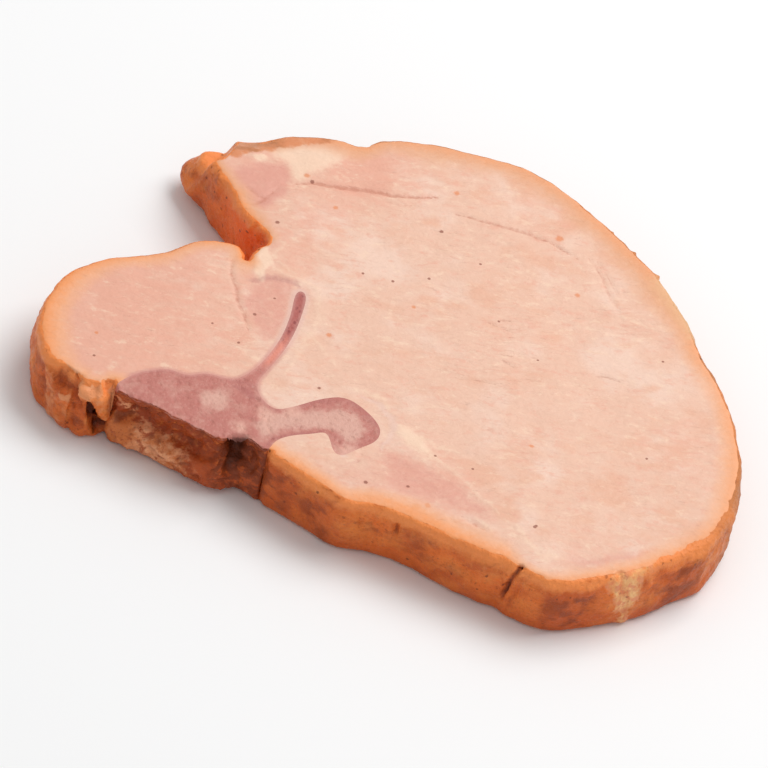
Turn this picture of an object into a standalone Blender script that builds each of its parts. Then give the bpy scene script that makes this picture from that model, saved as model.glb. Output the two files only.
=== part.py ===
"""Smoked pork chop: one bone-in loin slice, lying flat.

The slice is a slab of meat with a rounded rind edge, a flap at the back left, a narrow cleft
between the flap and the tenderloin lobe, and a chine bone let into its front left side.  The bone
runs through the whole thickness and bares its sawn side at the edge of the slice.

Drawing units are millimetres, seen from above: +X runs along the slice from the tenderloin to the
rind, +Y from the bone side to the back.  The finished meshes are in metres, +Z up, with the origin
at the middle of the underside.

Run with  blender --background --python part.py  or from Blender's text editor.
"""
import math

import bmesh
import bpy
from mathutils import Vector, noise
from mathutils.geometry import delaunay_2d_cdt

MM = 0.001

# Driving sizes, in millimetres.
THICKNESS = 12.0
BONE_GAP = 0.3
EDGE_WOBBLE = 0.35
WOBBLE_SPACING = 9.0
TOP_POINT_SPACING = 3.4
TOP_EDGE_CLEARANCE = 1.9
TOP_SWELL = 0.3
SWELL_SPACING = 24.0
SEAM_DEPTH = 0.4
SEAM_HALF_WIDTH = 2.6
FLAP_TIP = (-41.0, 39.0)
FLAP_DROP = 3.6
FLAP_DROP_REACH = 12.0
CREASE_DEPTH = 1.0
CREASE_HALF_WIDTH = 1.3
POINTS_PER_SPAN = 4
CLEFT_WEIGHT = 0.3
EASING_POINTS = 4

# The outer edge of the meat, anticlockwise from the right end of the bone.
RIND_FRONT = (
    (-17.5, -32.8), (-10.5, -36.2), (-3.8, -39.4), (1.2, -38.8), (7.2, -40.1), (15.4, -43.1),
    (23.6, -45.9), (31.0, -48.3), (35.8, -47.6), (41.8, -44.6), (47.6, -41.0), (53.0, -35.6),
    (57.4, -30.6), (59.4, -22.6),
)
RIND_BACK = (
    (60.0, -14.5), (58.2, -5.2), (54.8, 3.2), (50.2, 11.0), (47.2, 17.4), (42.4, 24.5),
    (38.4, 29.9), (30.8, 36.9), (22.0, 43.8), (14.0, 47.7), (5.5, 48.4), (-3.5, 48.3),
    (-9.8, 46.8), (-13.4, 44.4), (-17.5, 44.9), (-24.9, 43.8), (-31.2, 41.6),
)
FLAP_END = (
    (-35.6, 40.2), (-39.6, 38.4), (-38.6, 34.6), (-36.0, 30.8), (-33.0, 27.0), (-30.7, 22.8),
    (-27.9, 20.2), (-25.9, 18.0), (-25.5, 16.4),
)
CLEFT = ((-26.7, 15.3), (-27.4, 13.4), (-28.1, 11.2), (-28.9, 13.6), (-30.3, 14.9))
LOBE = (
    (-33.5, 14.9), (-37.3, 13.7), (-41.2, 10.0), (-46.4, 7.5), (-51.2, 5.4), (-55.6, 1.9),
    (-58.4, -3.2), (-59.8, -9.5), (-59.4, -15.6), (-57.4, -20.2), (-53.6, -23.2), (-51.2, -25.6),
    (-48.4, -26.6), (-46.6, -25.8), (-45.7, -24.3),
)

# The bone's outline, anticlockwise from its left tip.
CHINE_SIDE = (
    (-44.8, -25.0), (-42.2, -26.2), (-38.0, -27.4), (-34.1, -28.7), (-30.0, -30.3), (-26.0, -31.3),
    (-22.6, -30.1), (-20.2, -31.1), (-18.1, -32.1),
)
ARM_UNDERSIDE = (
    (-16.9, -29.3), (-14.6, -27.4), (-11.4, -26.0), (-9.2, -25.0), (-8.2, -26.6), (-7.2, -29.0),
    (-5.7, -29.5), (-3.4, -27.2),
)
ARM_TOP = (
    (-0.7, -24.4), (-0.6, -21.2), (-3.4, -18.0), (-7.2, -16.0), (-11.0, -17.4), (-14.9, -20.3),
    (-18.2, -22.0), (-21.0, -19.8), (-21.9, -16.6),
)
RIB_STRIP = (
    (-20.3, -12.2), (-18.6, -7.3), (-17.5, -2.0), (-17.0, 3.6), (-17.2, 6.0), (-18.1, 6.8),
    (-18.9, 5.4), (-19.0, 0.2), (-19.8, -5.4), (-21.6, -11.0), (-23.6, -14.8),
)
BODY_TOP = (
    (-26.2, -17.2), (-30.4, -17.1), (-33.6, -18.5), (-37.0, -18.1), (-41.2, -20.1), (-44.1, -23.1),
)

# Seams between the muscles, as shallow troughs in the cut face.
SEAMS = (
    ((-27.8, 11.0), (-23.6, 10.7), (-18.4, 9.2), (-15.4, 2.0), (-17.3, -7.0), (-19.6, -15.0)),
    ((-1.4, -16.5), (3.6, -21.0), (11.1, -27.1), (17.7, -32.3), (23.1, -36.8), (29.5, -44.0)),
    ((4.4, 31.4), (16.2, 31.0), (27.7, 29.4), (35.5, 15.7)),
)

# Where the side wall folds in, from top to bottom.
WALL_CREASES = ((-51.6, -25.2), (-47.6, -26.6), (24.0, -46.0), (-34.5, 28.9))

# Profiles of the side: height as a part of the thickness, and how far the wall lies inside the
# outline (outside it where negative).
RIND_PROFILE = (
    (0.0, 1.0), (0.05, 0.25), (0.25, -0.15), (0.5, -0.4), (0.75, -0.25), (0.9, 0.05), (0.97, 0.4),
    (1.0, 1.0),
)
CHINE_PROFILE = (
    (0.0, 0.5), (0.06, -0.1), (0.25, -0.5), (0.46, -0.45), (0.6, 1.1), (0.84, 1.2), (1.0, 0.1),
)


def catmull_rom(before, start, end, after, part):
    """The point a given part of the way along one span of a smooth curve."""
    squared = part * part
    cubed = squared * part
    return tuple(
        0.5 * (2.0 * s + (e - b) * part + (2.0 * b - 5.0 * s + 4.0 * e - a) * squared
               + (3.0 * s - b - 3.0 * e + a) * cubed)
        for b, s, e, a in zip(before, start, end, after)
    )


def smooth_path(points, closed):
    """Points along the smooth curve through the given points."""
    count = len(points)
    spans = count if closed else count - 1
    path = []
    for span in range(spans):
        index = [span - 1, span, span + 1, span + 2]
        if closed:
            index = [i % count for i in index]
        else:
            index = [min(max(i, 0), count - 1) for i in index]
        for step in range(POINTS_PER_SPAN):
            path.append(catmull_rom(*(points[i] for i in index), step / POINTS_PER_SPAN))
    if not closed:
        path.append(points[-1])
    return path


def inward_normals(loop):
    """For each point of an anticlockwise loop, the direction into the area it bounds."""
    normals = []
    for index, _ in enumerate(loop):
        before = Vector(loop[index - 1])
        after = Vector(loop[(index + 1) % len(loop)])
        along = (after - before).normalized()
        normals.append(Vector((-along.y, along.x)))
    return normals


def distance_to_path(point, path):
    """The shortest distance from a point to an open path of straight runs."""
    nearest = math.inf
    for start, end in zip(path, path[1:]):
        run = Vector(end) - Vector(start)
        offset = Vector(point) - Vector(start)
        part = min(max(offset.dot(run) / run.length_squared, 0.0), 1.0)
        nearest = min(nearest, (offset - run * part).length)
    return nearest


def bell(distance, half_width):
    """One at no distance, easing down to nothing at the half width."""
    if distance >= half_width:
        return 0.0
    return 0.5 + 0.5 * math.cos(math.pi * distance / half_width)


def local_thickness(x, y):
    """The slice is even but for its flap, which thins towards its tip."""
    reach = (Vector((x, y)) - Vector(FLAP_TIP)).length
    return THICKNESS - FLAP_DROP * bell(reach, FLAP_DROP_REACH)


def top_height(x, y):
    """The height of the cut face, with its slow swell and the troughs along the seams."""
    swell = TOP_SWELL * noise.noise(Vector((x, y, 0.0)) / SWELL_SPACING)
    trough = max(bell(distance_to_path((x, y), seam), SEAM_HALF_WIDTH) for seam in SEAMS)
    return local_thickness(x, y) + swell - SEAM_DEPTH * trough


def wall_shift(x, y):
    """How far a wall point is moved inwards, by its unevenness and by the folds."""
    wobble = EDGE_WOBBLE * noise.noise(Vector((x, y, 40.0)) / WOBBLE_SPACING)
    folds = sum(bell((Vector((x, y)) - Vector(place)).length, CREASE_HALF_WIDTH)
                for place in WALL_CREASES)
    return wobble + CREASE_DEPTH * folds


def eased(weights):
    """Weights that fall off smoothly towards the points of no weight, which keep none."""
    count = len(weights)
    window = range(-EASING_POINTS, EASING_POINTS + 1)
    smoothed = []
    for index, weight in enumerate(weights):
        total = sum(weights[(index + step) % count] for step in window)
        smoothed.append(total / len(window) if weight else 0.0)
    return smoothed


def make_rings(bm, loop, weights, profile):
    """Rings of vertices up the side, shaped by the profile as far as each point's weight says."""
    normals = inward_normals(loop)
    rings = []
    for part, inset in profile:
        ring = []
        for point, normal, weight in zip(loop, normals, weights):
            place = Vector(point) + normal * weight * (inset + wall_shift(*point))
            height = part * local_thickness(*point)
            if part == 1.0:
                height = top_height(*point)
            ring.append(bm.verts.new((place.x, place.y, height)))
        rings.append(ring)
    return rings


def bridge_rings(bm, lower, upper):
    """A band of faces between two rings with the same number of points."""
    count = len(lower)
    for index in range(count):
        following = (index + 1) % count
        bm.faces.new((lower[index], lower[following], upper[following], upper[index]))


def grid_inside(loop, spacing, clearance):
    """A staggered grid of points inside a loop, clear of its edge."""
    rim = list(loop) + [loop[0]]
    xs = [point[0] for point in loop]
    ys = [point[1] for point in loop]
    row_height = spacing * math.sqrt(3.0) / 2.0
    points = []
    for row in range(int((max(ys) - min(ys)) / row_height) + 1):
        y = min(ys) + row * row_height
        shift = spacing / 2.0 * (row % 2)
        for column in range(int((max(xs) - min(xs)) / spacing) + 1):
            x = min(xs) + shift + column * spacing
            if is_inside((x, y), loop) and distance_to_path((x, y), rim) > clearance:
                points.append((x, y))
    return points


def is_inside(point, loop):
    """Whether a point lies in the area that a loop bounds."""
    x, y = point
    inside = False
    for index, (x1, y1) in enumerate(loop):
        x0, y0 = loop[index - 1]
        if (y0 > y) != (y1 > y) and x < x0 + (y - y0) * (x1 - x0) / (y1 - y0):
            inside = not inside
    return inside


def cap_top(bm, ring):
    """The cut face: triangles through the ring and a grid of points inside it."""
    rim = [tuple(vert.co.xy) for vert in ring]
    points = rim + grid_inside(rim, TOP_POINT_SPACING, TOP_EDGE_CLEARANCE)
    flat = [Vector(point) for point in points]
    found = delaunay_2d_cdt(flat, [], [list(range(len(rim)))], 1, 1e-6)
    places, _, triangles, sources = found[:4]
    verts = []
    for place, source in zip(places, sources):
        if source and source[0] < len(rim):
            verts.append(ring[source[0]])
        else:
            verts.append(bm.verts.new((place.x, place.y, top_height(place.x, place.y))))
    for triangle in triangles:
        bm.faces.new([verts[corner] for corner in triangle])


def build_solid(loop, weights, profile):
    """A closed slab: a flat underside, a shaped side and an uneven cut face."""
    bm = bmesh.new()
    rings = make_rings(bm, loop, eased(weights), profile)
    bm.faces.new(list(reversed(rings[0])))
    for lower, upper in zip(rings, rings[1:]):
        bridge_rings(bm, lower, upper)
    cap_top(bm, rings[-1])
    bmesh.ops.recalc_face_normals(bm, faces=bm.faces)
    return bm


def bone_outline():
    """The bone's loop, and how many of its first points lie on the bare side."""
    loop = smooth_path(CHINE_SIDE + ARM_UNDERSIDE + ARM_TOP + RIB_STRIP + BODY_TOP, True)
    bare = (len(CHINE_SIDE) - 1) * POINTS_PER_SPAN + 1
    return loop, bare


def build_bone():
    """The chine bone: vertebra body, arm and thin strip, with its sawn side bare."""
    loop, bare = bone_outline()
    weights = [1.0] * bare + [0.0] * (len(loop) - bare)
    return build_solid(loop, weights, CHINE_PROFILE)


def build_meat():
    """The meat: its outer edge, closed by a bay that leaves a narrow gap round the bone.

    The bay stops short of the bone's left tip, which leaves a crevice beside the lobe.
    """
    bone, bare = bone_outline()
    before_cleft = RIND_FRONT + RIND_BACK + FLAP_END
    outer = smooth_path(before_cleft + CLEFT + LOBE, False)
    normals = inward_normals(bone)
    crevice = len(bone) - POINTS_PER_SPAN + 1
    bay = [tuple(Vector(point) - normal * BONE_GAP)
           for point, normal in zip(bone[bare:crevice], normals[bare:crevice])]
    bay.reverse()
    weights = [1.0] * len(outer) + [0.0] * len(bay)
    cleft_start = len(before_cleft) * POINTS_PER_SPAN
    cleft_end = cleft_start + (len(CLEFT) - 1) * POINTS_PER_SPAN + 1
    weights[cleft_start:cleft_end] = [CLEFT_WEIGHT] * (cleft_end - cleft_start)
    return build_solid(outer + bay, weights, RIND_PROFILE)


def middle_of(solids):
    """The middle of the box round all the solids, seen from above."""
    xs = [vert.co.x for bm in solids for vert in bm.verts]
    ys = [vert.co.y for bm in solids for vert in bm.verts]
    return (min(xs) + max(xs)) / 2.0, (min(ys) + max(ys)) / 2.0


def make_material(name, colour, roughness):
    """A Principled material of one colour."""
    material = bpy.data.materials.new(name)
    material.use_nodes = True
    shader = material.node_tree.nodes["Principled BSDF"]
    shader.inputs["Base Color"].default_value = (*colour, 1.0)
    shader.inputs["Roughness"].default_value = roughness
    shader.inputs["Metallic"].default_value = 0.0
    material.diffuse_color = (*colour, 1.0)
    return material


def add_object(name, bm, middle, material):
    """Put a solid in the scene in metres, with the middle of the slice at the origin."""
    for vert in bm.verts:
        vert.co = ((vert.co.x - middle[0]) * MM, (vert.co.y - middle[1]) * MM, vert.co.z * MM)
    mesh = bpy.data.meshes.new(name)
    bm.to_mesh(mesh)
    bm.free()
    mesh.shade_smooth()
    mesh.set_sharp_from_angle(angle=math.radians(40.0))
    mesh.materials.append(material)
    piece = bpy.data.objects.new(name, mesh)
    bpy.context.scene.collection.objects.link(piece)
    return piece


def main():
    for stale in list(bpy.data.objects):
        bpy.data.objects.remove(stale)
    meat = build_meat()
    bone = build_bone()
    middle = middle_of((meat, bone))
    add_object("meat", meat, middle, make_material("smoked_meat", (0.91, 0.58, 0.44), 0.45))
    add_object("bone", bone, middle, make_material("smoked_bone", (0.60, 0.25, 0.21), 0.55))


main()
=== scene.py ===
"""The looks of the smoked pork chop: finely modelled meat and bone, their materials, light and camera.

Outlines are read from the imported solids.  Sizes and places are in millimetres, from the middle of
the slice, with +X towards the rind and +Y towards the back; meshes are written in metres.
"""
import math

import bmesh
import bpy
import numpy as np
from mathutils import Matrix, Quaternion, Vector, kdtree, noise
from mathutils.geometry import delaunay_2d_cdt


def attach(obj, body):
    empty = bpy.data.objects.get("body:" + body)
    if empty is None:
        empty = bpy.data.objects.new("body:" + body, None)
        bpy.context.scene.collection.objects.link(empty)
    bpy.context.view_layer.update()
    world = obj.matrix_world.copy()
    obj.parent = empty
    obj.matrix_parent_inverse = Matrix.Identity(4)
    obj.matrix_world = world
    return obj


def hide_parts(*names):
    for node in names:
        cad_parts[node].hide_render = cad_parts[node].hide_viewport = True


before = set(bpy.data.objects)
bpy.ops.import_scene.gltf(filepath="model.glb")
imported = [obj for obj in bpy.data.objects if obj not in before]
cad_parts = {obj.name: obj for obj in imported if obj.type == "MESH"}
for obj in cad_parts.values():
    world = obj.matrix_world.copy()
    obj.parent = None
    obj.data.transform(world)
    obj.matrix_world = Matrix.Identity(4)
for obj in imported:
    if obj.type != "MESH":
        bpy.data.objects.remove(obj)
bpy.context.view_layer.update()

MM = 0.001
THICKNESS = 12

# Mesh spacing, how near the grid comes to the outline as a part of that, the spacing of points on
# painted paths, the distance at which points are one, and the heights at which outlines are read.
OUTLINE_STEP = 0.42
GRID_CLEARANCE = 0.6
PATH_STEP = 0.15
TOUCHING = 1e-7
FACE_STEP = {"meat": 0.45, "bone": 0.3}
UNDERSIDE_STEP = {"meat": 0.95, "bone": 0.6}
SECTION_HEIGHT = {"meat": 1.5, "bone": 0.6}
OUTLINE_SOFTENING = 0.55
GROWN_TOGETHER = 0.55

# Where the outline runs straighter than the solid's: place and reach, and over how many points.
STRAIGHTENED = ((-35, 30), 7.5)
STRAIGHT_SOFTENING = 7

# The flap thins towards its tip.
FLAP_TIP = (-41, 39)
FLAP_DROP = 3.6
FLAP_DROP_REACH = (5.2, 7.4)
FLAP_SHOULDER = ((-32.5, 43), 7.5)
SHOULDER_DROP = 2.2

# Side profiles, from the underside to the cut face: height as a part of the thickness, and how far
# the side lies inside the outline.  Where the slice is narrow, the side moves in by no more than a
# part of the room there is.
MOST_ROOM = 9
ROOM_USED = 0.7
RIND_PROFILE = (
    (0, 1), (0.01, 0.55), (0.03, 0.25), (0.06, 0.08), (0.1, -0.02), (0.14, -0.1),
    (0.18, -0.18), (0.22, -0.24), (0.26, -0.29), (0.3, -0.33), (0.34, -0.36), (0.38, -0.38),
    (0.42, -0.4), (0.46, -0.4), (0.5, -0.4), (0.54, -0.39), (0.58, -0.37), (0.62, -0.35),
    (0.66, -0.32), (0.7, -0.29), (0.74, -0.25), (0.78, -0.21), (0.82, -0.15), (0.855, -0.09),
    (0.885, -0.03), (0.915, 0.05), (0.942, 0.16), (0.966, 0.32), (0.986, 0.56), (1, 1),
)
CHINE_PROFILE = (
    (0, 0.7), (0.02, 0.2), (0.05, -0.15), (0.09, -0.45), (0.13, -0.65), (0.17, -0.8),
    (0.21, -0.9), (0.25, -0.95), (0.29, -0.95), (0.33, -0.9), (0.37, -0.8), (0.4, -0.65),
    (0.425, -0.4), (0.44, 0.1), (0.45, 0.7), (0.465, 1.3), (0.49, 1.75), (0.53, 2),
    (0.57, 2.1), (0.61, 2.1), (0.65, 2.05), (0.69, 1.95), (0.73, 1.8), (0.77, 1.6),
    (0.81, 1.35), (0.85, 1.1), (0.89, 0.8), (0.93, 0.5), (0.97, 0.25), (1, 0.1),
)

# Folds and cracks in the side: place, half width, depth, lean along X from bottom to top, and the
# parts of the height between which they run.
WALL_FOLDS = (
    ((24.9, -46.6), 0.8, 1.3, 3.6, 0.1, 1.1),
    ((26.6, -47.2), 1.2, 0.5, 3, -0.1, 0.9),
    ((5.6, -39.9), 0.8, 0.9, 0, 0.6, 0.85),
    ((-12.8, 45.2), 1.3, 0.8, 0, -0.1, 1.1),
    ((44.6, -43), 1, 0.4, -2.6, 0.1, 1.1),
    ((58.6, -3.6), 1, 0.4, 1, -0.1, 1.1),
    ((-19.4, -34.6), 0.8, 0.9, 1.2, 0, 0.9),
)

# Swellings of the side: place, reach, how far out, the part of the height at their middle, and how
# far up and down they reach.
WALL_BULGES = (
    ((-40.4, 37.4), 9, 2.3, 0.42, 0.5),
    ((-34.8, 29.8), 4, 0.8, 0.42, 0.8),
    ((5, -39.5), 19, 0.9, 0.9, 0.75),
    ((45.2, -42.5), 1.4, 0.7, 0.1, 0.22),
    ((39.8, 28.4), 0.9, 0.8, 0.97, 0.14),
    ((35.3, 32.8), 0.8, 0.6, 0.97, 0.12),
    ((30.9, 36.8), 0.6, 0.4, 0.97, 0.1),
)

# The broken front of the lobe, as shapes in its side: outline along X and height, how far out, and
# tone, from 1 where the crust has peeled to -1 where it is darkest, which on its sunken shapes is
# partly scorched crust and partly painted shade.  It lies beyond a corner.
LOBE_FRONT_CORNER = (-43.5, -17)
LOBE_FRONT = (
    (((-59, 10), (-56.6, 9.6), (-56.2, 3.6), (-58, 2.4)), -0.2, -0.5),
    (((-56.6, 9.8), (-54.7, 9.2), (-53.9, 5), (-52.4, -0.5), (-55, -0.5), (-55.8, 4)), 0.5, 0.35),
    (((-54.8, 11), (-51.8, 12.2), (-51.7, 9.2), (-53.9, 7.9), (-54.6, 8.6)), -0.7, -0.7),
    (((-53.8, 7.6), (-51.3, 8.6), (-50.9, 4.5), (-51.2, -0.5), (-52.9, -0.5), (-53.9, 4)), 0.8, 0.3),
    (((-53.1, 7.9), (-51.6, 8.9), (-51.2, 8.1), (-52.5, 7)), 0.9, 0.8),
    (((-51, 8), (-49.2, 8.4), (-48.6, 4), (-49, 2.2), (-50.9, 2.4)), -0.4, -0.9),
    (((-51.9, 12.4), (-51.1, 12.4), (-50.3, 8.6), (-49.5, 7.4), (-50.3, 7.2), (-51.3, 8.7)), -1, -0.8),
    (((-50.9, 12.6), (-50.6, 10.4), (-49.2, 9.6), (-47.6, 9.9), (-46.4, 11), (-46.4, 12.6)), 0.3, 1),
    (((-48.8, 8.8), (-47.6, 7.4), (-46.3, 5), (-45.2, 4), (-45.2, 1.6), (-46.8, 1.2), (-47.6, 3.2),
      (-48.3, 6)), -2.4, -1),
    (((-48.9, 10.2), (-45.4, 9.6), (-45.3, 4.4), (-46.2, 5.2), (-47.5, 7.8)), 0.9, 0.3),
    (((-45.9, 10.4), (-44.6, 10), (-44.6, 6), (-45.4, 5.6)), 0.5, 1),
)

# Chips broken from the edge of the cut face: outline and drop.
CHIPS = (
    (((-51.1, -23.7), (-49.6, -24.5), (-47.6, -24.6), (-47.2, -27), (-51.3, -27)), 1),
    (((-46.9, -24.1), (-45.3, -23.3), (-44.5, -25.4), (-46.6, -26.6)), 1.6),
)

# Scorched parts of the side: place, reach, the parts of the height between which they lie, strength.
SCORCHED = (
    ((-36.5, 32.5), 6.5, -0.1, 1.1, 0.2),
    ((-34.4, 37), 3.2, -0.1, 1.1, 0.6),
    ((-29, 42), 6, 0.8, 1.1, 0.5),
    ((-17.5, -35), 9, -0.1, 0.9, 1),
    ((-8, -38), 9, -0.1, 0.85, 0.7),
    ((9, -41), 7, 0.3, 0.9, 0.5),
    ((39.8, 28.4), 1.1, 0.85, 1.1, 1),
    ((35.3, 32.8), 0.9, 0.85, 1.1, 1),
    ((36.5, -47), 9.5, 0.05, 0.85, 0.9),
    ((53, -36), 8, 0.05, 0.75, 0.9),
)

# Muscles that are darker and pinker than the eye: outline, blur of its edge and strength.
DARK_MUSCLES = (
    (((-26.6, 4.8), (-25.2, 8.2), (-22.2, 9.1), (-19.7, 7.6), (-19.2, 4.8), (-19.3, 0.3),
      (-19.9, -3.7), (-21.4, -6.9), (-23.5, -5.4), (-25.5, -2.6), (-27.2, 0.8)), 1.1, 0.65),
    (((-26.6, 3.2), (-25, 4.2), (-23.9, 3), (-24.8, 1.3), (-26.3, 1.6)), 0.8, 0.75),
    (((-23.6, 0.2), (-22.2, 0.4), (-21.6, -1.2), (-23, -1.6)), 0.8, 0.6),
    (((-33.6, 31.6), (-30.9, 34.1), (-27.6, 35.6), (-24.9, 35.3), (-23.7, 32.3), (-23.9, 28.9),
      (-25.8, 25.6), (-28.2, 23.8), (-30.6, 24.1), (-32.6, 27.4)), 1.1, 0.85),
    (((0.4, -25.2), (3.8, -26.4), (7.4, -27.4), (11.4, -28.4), (15.8, -31.2), (20.6, -35.4),
      (21.6, -37.6), (18.4, -37.4), (14.4, -36.6), (11, -35.6), (6.6, -35.6), (2.2, -33.6)),
     1.6, 0.6),
    (((-13, -34.5), (-5, -30.5), (2, -30), (3, -36), (-4, -38)), 2, 0.35),
    (((17, -38), (18.2, -37.6), (19.8, -38.8), (18.6, -39.6)), 1.2, 0.5),
    (((31, -45), (35.8, -43.6), (40, -42.7), (44.2, -40.2), (48.4, -36.6), (47.4, -35.4),
      (43.2, -38), (38, -40.6), (33, -42.4)), 1.2, 0.6),
)

# A glow of painted light on the side by the cleft, and browned and filmed parts of the side: place
# and reach; and where along X its streak of fat lies.
PAINTED_GLOW_AREA = ((-29.5, 21), 15)
AGED_LOBE = ((-46, 14), 15)
FILM_AREA = ((45, 22), 15)
STREAK_X = 45

# Where the smoke reaches further in, and where the cut face is pinker: place, reach and amount.
TINT_PATCHES = (
    ((12, -42), 17, 1.2), ((-25.8, 15), 5, -1.6), ((-29, 42), 8, 2.4),
    ((-19, 44.5), 10, 1.4),
)
BLUSH_PATCHES = (
    ((8, -33), 19, 0.75), ((-8, 38), 17, 0.6), ((20, 36), 18, 0.35),
    ((36, -38), 12, 0.4), ((50, -12), 18, 0.4),
)

# Cream fat: outline, blur of its edge and strength.
FAT_PATCHES = (
    (((-26, 16.6), (-27.8, 15), (-27.6, 12.4), (-26.6, 9.6), (-25.6, 7.4), (-24.6, 7),
      (-24.4, 9.4), (-23.9, 11.8), (-24.6, 14.2)), 0.5, 1),
    (((-28, 38.4), (-24.1, 40.9), (-19.5, 41.8), (-15.2, 42.2), (-16.4, 38.6), (-20.8, 34.3),
      (-22.9, 32.6), (-24.9, 35.8)), 1.5, 0.9),
    (((1.9, -19.6), (4.6, -20.2), (7.4, -23), (9.6, -25.4), (7, -25.2), (3.6, -22.8)), 1, 0.9),
    (((27, -41), (31, -40), (36, -42.6), (33, -45.6), (29, -45.4)), 1.6, 0.4),
    (((17.6, -37), (19.6, -38), (21.6, -40.2), (19.4, -39)), 0.5, 0.6),
    (((-30.9, 36.3), (-28.9, 36.9), (-28.3, 35.5), (-30.1, 34.9)), 0.6, 0.8),
)

# The browned back of the flap: outline, blur of its edge and strength.
RUST_PATCHES = (
    (((-35.4, 36.2), (-33.4, 35.2), (-31.2, 36.9), (-28.4, 38.2), (-24.4, 40.6), (-18, 43.6),
      (-20, 46.5), (-30, 46), (-38, 42)), 0.9, 1),
)

# Fat seams: path, half width and strength.
FAT_SEAMS = (
    (((-26.4, 16.5), (-23.6, 10.7), (-18.2, 9.2), (-15.2, 7.2), (-14.3, 2.1), (-14.9, -1.9),
      (-16.1, -6.8), (-17.6, -13.5)), 2, 0.5),
    (((-22, 17.5), (-23.6, 13.2), (-19.5, 10)), 1.3, 0.5),
    (((-15, -3), (-11.5, -6.5), (-9.5, -9)), 1.2, 0.5),
    (((2.4, -20.6), (6.4, -23.6), (9.6, -25.6), (13.4, -28.4), (17.5, -31.6), (22.3, -36),
      (27.3, -40.8), (30, -44.2)), 0.75, 0.5),
    (((24.6, -37.4), (27.6, -40.6), (30.6, -44.6)), 1.9, 0.6),
    (((4.6, -20.4), (9.2, -22.6), (14, -23.4)), 0.9, 0.6),
    (((5.2, -24.6), (8.4, -27.2), (12, -29.4)), 0.6, 0.5),
    (((-8, -13.6), (-3, -13.8), (1.5, -17.5)), 1.4, 0.6),
)

# Thin reddish lines: path, half width and strength.
LINES = (
    (((-30.5, 10.3), (-30, 7.1), (-28.7, 3.6), (-27.4, 0.1), (-25.2, -4.7)), 0.8, 0.7),
    (((-22.8, 31.8), (-20.2, 32.6), (-15.2, 33), (-10.2, 33.6), (-5.2, 33.7), (1.1, 35.4)), 0.9, 0.9),
    (((-8.6, 32), (-4.8, 31.6), (-1.5, 32.2)), 0.9, 0.4),
    (((4.4, 32.2), (10.4, 31.8), (15.6, 31.4), (20.5, 30.4), (26.1, 27.9)), 0.8, 0.7),
    (((27.7, 28.9), (30.2, 25.3), (32.8, 20.5), (35.5, 15.7)), 0.6, 0.6),
    (((29.4, 28.4), (31.6, 25), (33.6, 21.4)), 0.5, 0.5),
    (((-30.9, 28.8), (-28.4, 27), (-26.4, 27.2)), 0.8, 0.6),
    (((-33.1, 24.9), (-29.9, 24.6), (-27.4, 26.4), (-25.6, 30.2)), 0.8, 0.6),
    (((15.4, -37.4), (17.2, -38.4), (20.2, -40.2)), 0.8, 0.6),
    (((13.4, -38.4), (15.6, -39.8)), 0.7, 0.4),
    (((-3.4, -26.6), (-2.6, -29), (-3.4, -31)), 0.8, 0.4),
    (((-21.4, -16), (-26.4, -16.4), (-30.2, -16.4)), 0.6, 0.4),
)

# Short creases where the knife dragged, each dented a little and darkened with painted shade: from, to and
# strength.
CREASES = (
    ((13.2, 8.5), (17.6, 7.4), 0.8), ((15, 9.3), (17.6, 10.1), 1), ((9, -6.2), (17.1, -5.5), 0.7),
    ((14.2, -9.8), (21.1, -9.2), 0.6), ((16.2, 0.6), (19.4, -0.7), 0.8), ((17, 1.6), (23, 2.4), 0.7),
    ((26, -1.4), (31.2, 0.9), 0.5), ((32, 1.9), (37.3, 1.1), 0.9), ((34.6, 12.3), (39.6, 13.8), 0.5),
    ((26.2, 10.2), (31.4, 12.3), 0.4), ((-0.4, 27.1), (6.3, 28.1), 0.6), ((5.8, 13.4), (11.9, 12.6), 0.5),
    ((2.3, 10.2), (10.1, 12), 0.5), ((-40, -4), (-35.2, -3.4), 0.5), ((-47.4, 1.2), (-42.6, 2.2), 0.4),
    ((-38.6, 6), (-34.8, 5.4), 0.5), ((21, -20.4), (26.4, -20), 0.4), ((40.6, -8.2), (45, -7), 0.4),
)

# Mauve edges of the small muscle and round the bone, and pale cartilage: path, half width, strength.
MAUVE_STROKES = (
    (((-26.4, 6.6), (-24.2, 8), (-21.2, 8.6), (-18.6, 7.4)), 1.7, 0.8),
    (((0.6, -25), (-0.6, -28.2), (-4.4, -31.2)), 1.6, 0.4),
)
CARTILAGE = (
    (((-5, -14.6), (-1.6, -16), (1.2, -19), (1.7, -22.4), (0.6, -26)), 1.3, 0.8),
    (((-5.8, -28.6), (-5.4, -29.4), (-4.6, -29.4)), 1, 0.9),
    (((-31.6, 22.4), (-29.6, 24), (-27.4, 23.4)), 1.2, 0.7),
)

# Warmer and paler parts of the cut face: place, reach and strength.
WARM_PATCHES = (
    ((10.2, 13.8), 6, 1), ((16, 44), 9, 0.9), ((6.5, -2.1), 5, 0.7), ((17.4, -27.4), 6, 0.7),
    ((22.4, -32.6), 6.5, 1), ((45.5, -15), 8, 0.9), ((51, -30), 10, 1),
    ((20.7, 24.3), 6, 0.7), ((38.4, -15.6), 6, 0.6), ((39.5, -24), 7, 0.6), ((24.3, 38), 9, 0.9),
    ((52, -4), 6, 0.6), ((-12, 38), 9, 0.6), ((-50, -2), 9, 0.7), ((32, 30), 6, 0.6),
    ((8, 38), 8, 0.5),
)
PALE_PATCHES = (
    ((-14.5, 22.6), 8, 1), ((-8.5, 18.6), 8, 0.9), ((-12.4, 9.4), 6, 0.9), ((42.1, 1.3), 6, 0.8),
    ((28.4, -24.6), 6, 1), ((5, -38.4), 5, 1), ((35, 8), 8, 0.5), ((0, 5), 9, 0.5),
    ((26, -36), 5, 0.7), ((-36, -12), 7, 0.4), ((30, -8), 6, 0.4),
)

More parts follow.
